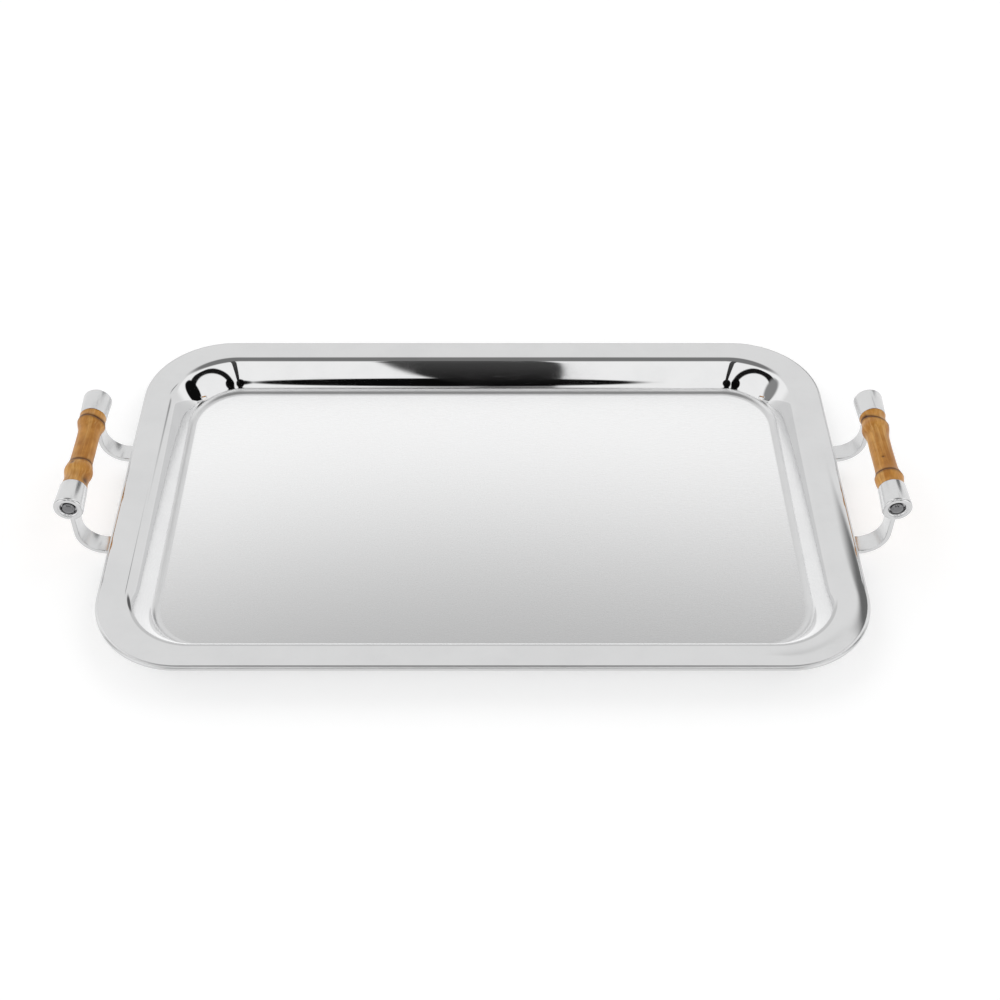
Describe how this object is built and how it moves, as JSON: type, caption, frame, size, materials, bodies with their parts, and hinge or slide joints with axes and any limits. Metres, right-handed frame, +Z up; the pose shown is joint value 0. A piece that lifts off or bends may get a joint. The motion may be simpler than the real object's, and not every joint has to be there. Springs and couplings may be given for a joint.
{
  "type": "serving tray",
  "caption": "Rectangular polished metal serving tray with a pressed well, rolled rim and fixed bamboo-root grips on bent strap brackets at its ends.",
  "frame": {"origin": "underside of the flat floor, at the middle of the tray", "axes": "+Z up out of the well, +X along the tray towards the right handle, +Y across the tray towards its back edge"},
  "size_m": [0.6272, 0.354, 0.0747],
  "materials": {
    "polished_steel": "mirror polished stainless sheet, with a fine satin finish on the flat floor",
    "bamboo": "lacquered bamboo root, honey brown with darker growth nodes",
    "nut_steel": "polished domed nut",
    "rod_steel": "plain zinc-grey steel"
  },
  "bodies": {
    "root": {"left_front_bracket": "polished_steel", "left_front_dome_nut": "nut_steel", "left_front_ferrule": "polished_steel", "left_front_washer": "rod_steel", "left_grip": "bamboo", "left_rear_bracket": "polished_steel", "left_rear_dome_nut": "nut_steel", "left_rear_ferrule": "polished_steel", "left_rear_washer": "rod_steel", "left_tie_rod": "rod_steel", "right_front_bracket": "polished_steel", "right_front_dome_nut": "nut_steel", "right_front_ferrule": "polished_steel", "right_front_washer": "rod_steel", "right_grip": "bamboo", "right_rear_bracket": "polished_steel", "right_rear_dome_nut": "nut_steel", "right_rear_ferrule": "polished_steel", "right_rear_washer": "rod_steel", "right_tie_rod": "rod_steel", "tray_pan": "polished_steel"}
  },
  "joints": []
}
